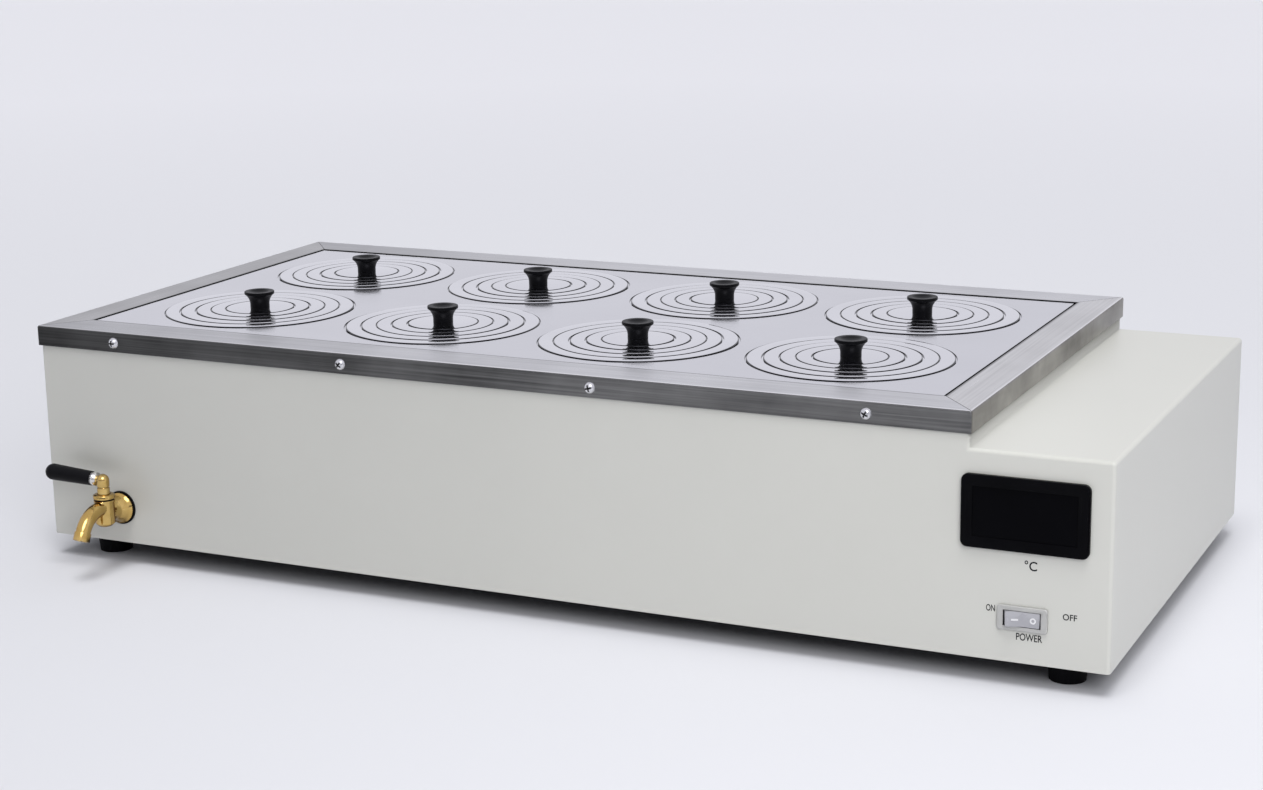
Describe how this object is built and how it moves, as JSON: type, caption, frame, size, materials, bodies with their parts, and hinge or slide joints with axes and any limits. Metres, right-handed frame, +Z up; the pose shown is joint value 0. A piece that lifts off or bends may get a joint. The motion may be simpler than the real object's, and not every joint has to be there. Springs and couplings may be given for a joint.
{
  "type": "thermostatic water bath",
  "caption": "Bench-top digital water bath with a lift-off cover plate, nested stainless rings and knobbed lids, a brass drain tap, a display and a rocker switch.",
  "frame": {"origin": "centre of the whole part's bounding box at bench level, under the feet", "axes": "+X to the right along the length, +Y to the back, +Z up; the display and tap face -Y"},
  "size_m": [0.73, 0.4128, 0.1715],
  "materials": {
    "painted_sheet": "satin powder coat",
    "zinc_sheet": "dull zinc",
    "stainless_brushed": "brushed",
    "stainless_polished": "polished",
    "stainless_tube": "satin",
    "brass": "polished",
    "zinc_screw": "bright",
    "black_phenolic": "semi-gloss",
    "black_rubber": "matte",
    "red_silicone": "matte",
    "black_moulding": "satin",
    "smoked_window": "glossy",
    "grey_switch": "semi-gloss",
    "green_board": "matte",
    "laminated_core": "matte",
    "aluminium_sink": "satin",
    "glass_wool": "fibrous"
  },
  "bodies": {
    "bath": {"outer_shell": "painted_sheet", "base_plate": "zinc_sheet", "base_screws": "zinc_screw", "bulkhead": "zinc_sheet", "feet": "black_rubber", "feet_screws": "zinc_screw", "tank": "stainless_brushed", "tank_insulation": "glass_wool", "rim_frame": "stainless_brushed", "rim_screws": "zinc_screw", "heater_element": "stainless_tube", "heater_nuts": "brass", "probe": "stainless_tube", "probe_gland": "brass", "tap_gasket": "black_rubber", "tap_body": "brass", "tap_spacer": "aluminium_sink", "tap_washer": "red_silicone", "tap_locknut": "brass", "tap_o_ring": "black_rubber", "tap_bonnet": "brass", "display_bezel": "black_moulding", "display_window": "smoked_window", "display_board": "green_board", "control_board": "green_board", "transformer": "laminated_core", "heater_relay": "aluminium_sink", "switch_body": "grey_switch", "cord_gland": "black_moulding", "fuse_holder": "black_moulding"},
    "cover": {"cover_plate": "stainless_polished"},
    "tap_handle": {"tap_plug": "brass", "tap_lever": "brass", "tap_grip": "black_moulding"},
    "rocker": {"switch_rocker": "grey_switch"},
    "shelf": {"shelf": "stainless_brushed"},
    "ring_set_1": {"rings_1": "stainless_polished"},
    "lid_set_1": {"lid_1": "stainless_polished", "knob_1": "black_phenolic"},
    "ring_set_2": {"rings_2": "stainless_polished"},
    "lid_set_2": {"lid_2": "stainless_polished", "knob_2": "black_phenolic"},
    "ring_set_3": {"rings_3": "stainless_polished"},
    "lid_set_3": {"lid_3": "stainless_polished", "knob_3": "black_phenolic"},
    "ring_set_4": {"rings_4": "stainless_polished"},
    "lid_set_4": {"lid_4": "stainless_polished", "knob_4": "black_phenolic"},
    "ring_set_5": {"rings_5": "stainless_polished"},
    "lid_set_5": {"lid_5": "stainless_polished", "knob_5": "black_phenolic"},
    "ring_set_6": {"rings_6": "stainless_polished"},
    "lid_set_6": {"lid_6": "stainless_polished", "knob_6": "black_phenolic"},
    "ring_set_7": {"rings_7": "stainless_polished"},
    "lid_set_7": {"lid_7": "stainless_polished", "knob_7": "black_phenolic"},
    "ring_set_8": {"rings_8": "stainless_polished"},
    "lid_set_8": {"lid_8": "stainless_polished", "knob_8": "black_phenolic"}
  },
  "joints": [
    {"name": "cover_lift", "type": "slide", "parent": "bath", "child": "cover", "axis": [0, 0, 1], "range_m": [0, 0.15]},
    {"name": "shelf_lift", "type": "slide", "parent": "bath", "child": "shelf", "axis": [0, 0, 1], "range_m": [0, 0.08]},
    {"name": "rings_1_lift", "type": "slide", "parent": "cover", "child": "ring_set_1", "axis": [0, 0, 1], "range_m": [0, 0.08]},
    {"name": "lid_1_lift", "type": "slide", "parent": "ring_set_1", "child": "lid_set_1", "axis": [0, 0, 1], "range_m": [0, 0.05]},
    {"name": "rings_2_lift", "type": "slide", "parent": "cover", "child": "ring_set_2", "axis": [0, 0, 1], "range_m": [0, 0.08]},
    {"name": "lid_2_lift", "type": "slide", "parent": "ring_set_2", "child": "lid_set_2", "axis": [0, 0, 1], "range_m": [0, 0.05]},
    {"name": "rings_3_lift", "type": "slide", "parent": "cover", "child": "ring_set_3", "axis": [0, 0, 1], "range_m": [0, 0.08]},
    {"name": "lid_3_lift", "type": "slide", "parent": "ring_set_3", "child": "lid_set_3", "axis": [0, 0, 1], "range_m": [0, 0.05]},
    {"name": "rings_4_lift", "type": "slide", "parent": "cover", "child": "ring_set_4", "axis": [0, 0, 1], "range_m": [0, 0.08]},
    {"name": "lid_4_lift", "type": "slide", "parent": "ring_set_4", "child": "lid_set_4", "axis": [0, 0, 1], "range_m": [0, 0.05]},
    {"name": "rings_5_lift", "type": "slide", "parent": "cover", "child": "ring_set_5", "axis": [0, 0, 1], "range_m": [0, 0.08]},
    {"name": "lid_5_lift", "type": "slide", "parent": "ring_set_5", "child": "lid_set_5", "axis": [0, 0, 1], "range_m": [0, 0.05]},
    {"name": "rings_6_lift", "type": "slide", "parent": "cover", "child": "ring_set_6", "axis": [0, 0, 1], "range_m": [0, 0.08]},
    {"name": "lid_6_lift", "type": "slide", "parent": "ring_set_6", "child": "lid_set_6", "axis": [0, 0, 1], "range_m": [0, 0.05]},
    {"name": "rings_7_lift", "type": "slide", "parent": "cover", "child": "ring_set_7", "axis": [0, 0, 1], "range_m": [0, 0.08]},
    {"name": "lid_7_lift", "type": "slide", "parent": "ring_set_7", "child": "lid_set_7", "axis": [0, 0, 1], "range_m": [0, 0.05]},
    {"name": "rings_8_lift", "type": "slide", "parent": "cover", "child": "ring_set_8", "axis": [0, 0, 1], "range_m": [0, 0.08]},
    {"name": "lid_8_lift", "type": "slide", "parent": "ring_set_8", "child": "lid_set_8", "axis": [0, 0, 1], "range_m": [0, 0.05]},
    {"name": "tap_turn", "type": "hinge", "parent": "bath", "child": "tap_handle", "pos_m": [-0.30585, -0.17472, 0.0392], "axis": [0, 0, 1], "range_deg": [0, 90]},
    {"name": "switch_rock", "type": "hinge", "parent": "bath", "child": "rocker", "pos_m": [0.31455, -0.15512, 0.0416], "axis": [0, 0, -1], "range_deg": [0, 16]}
  ]
}
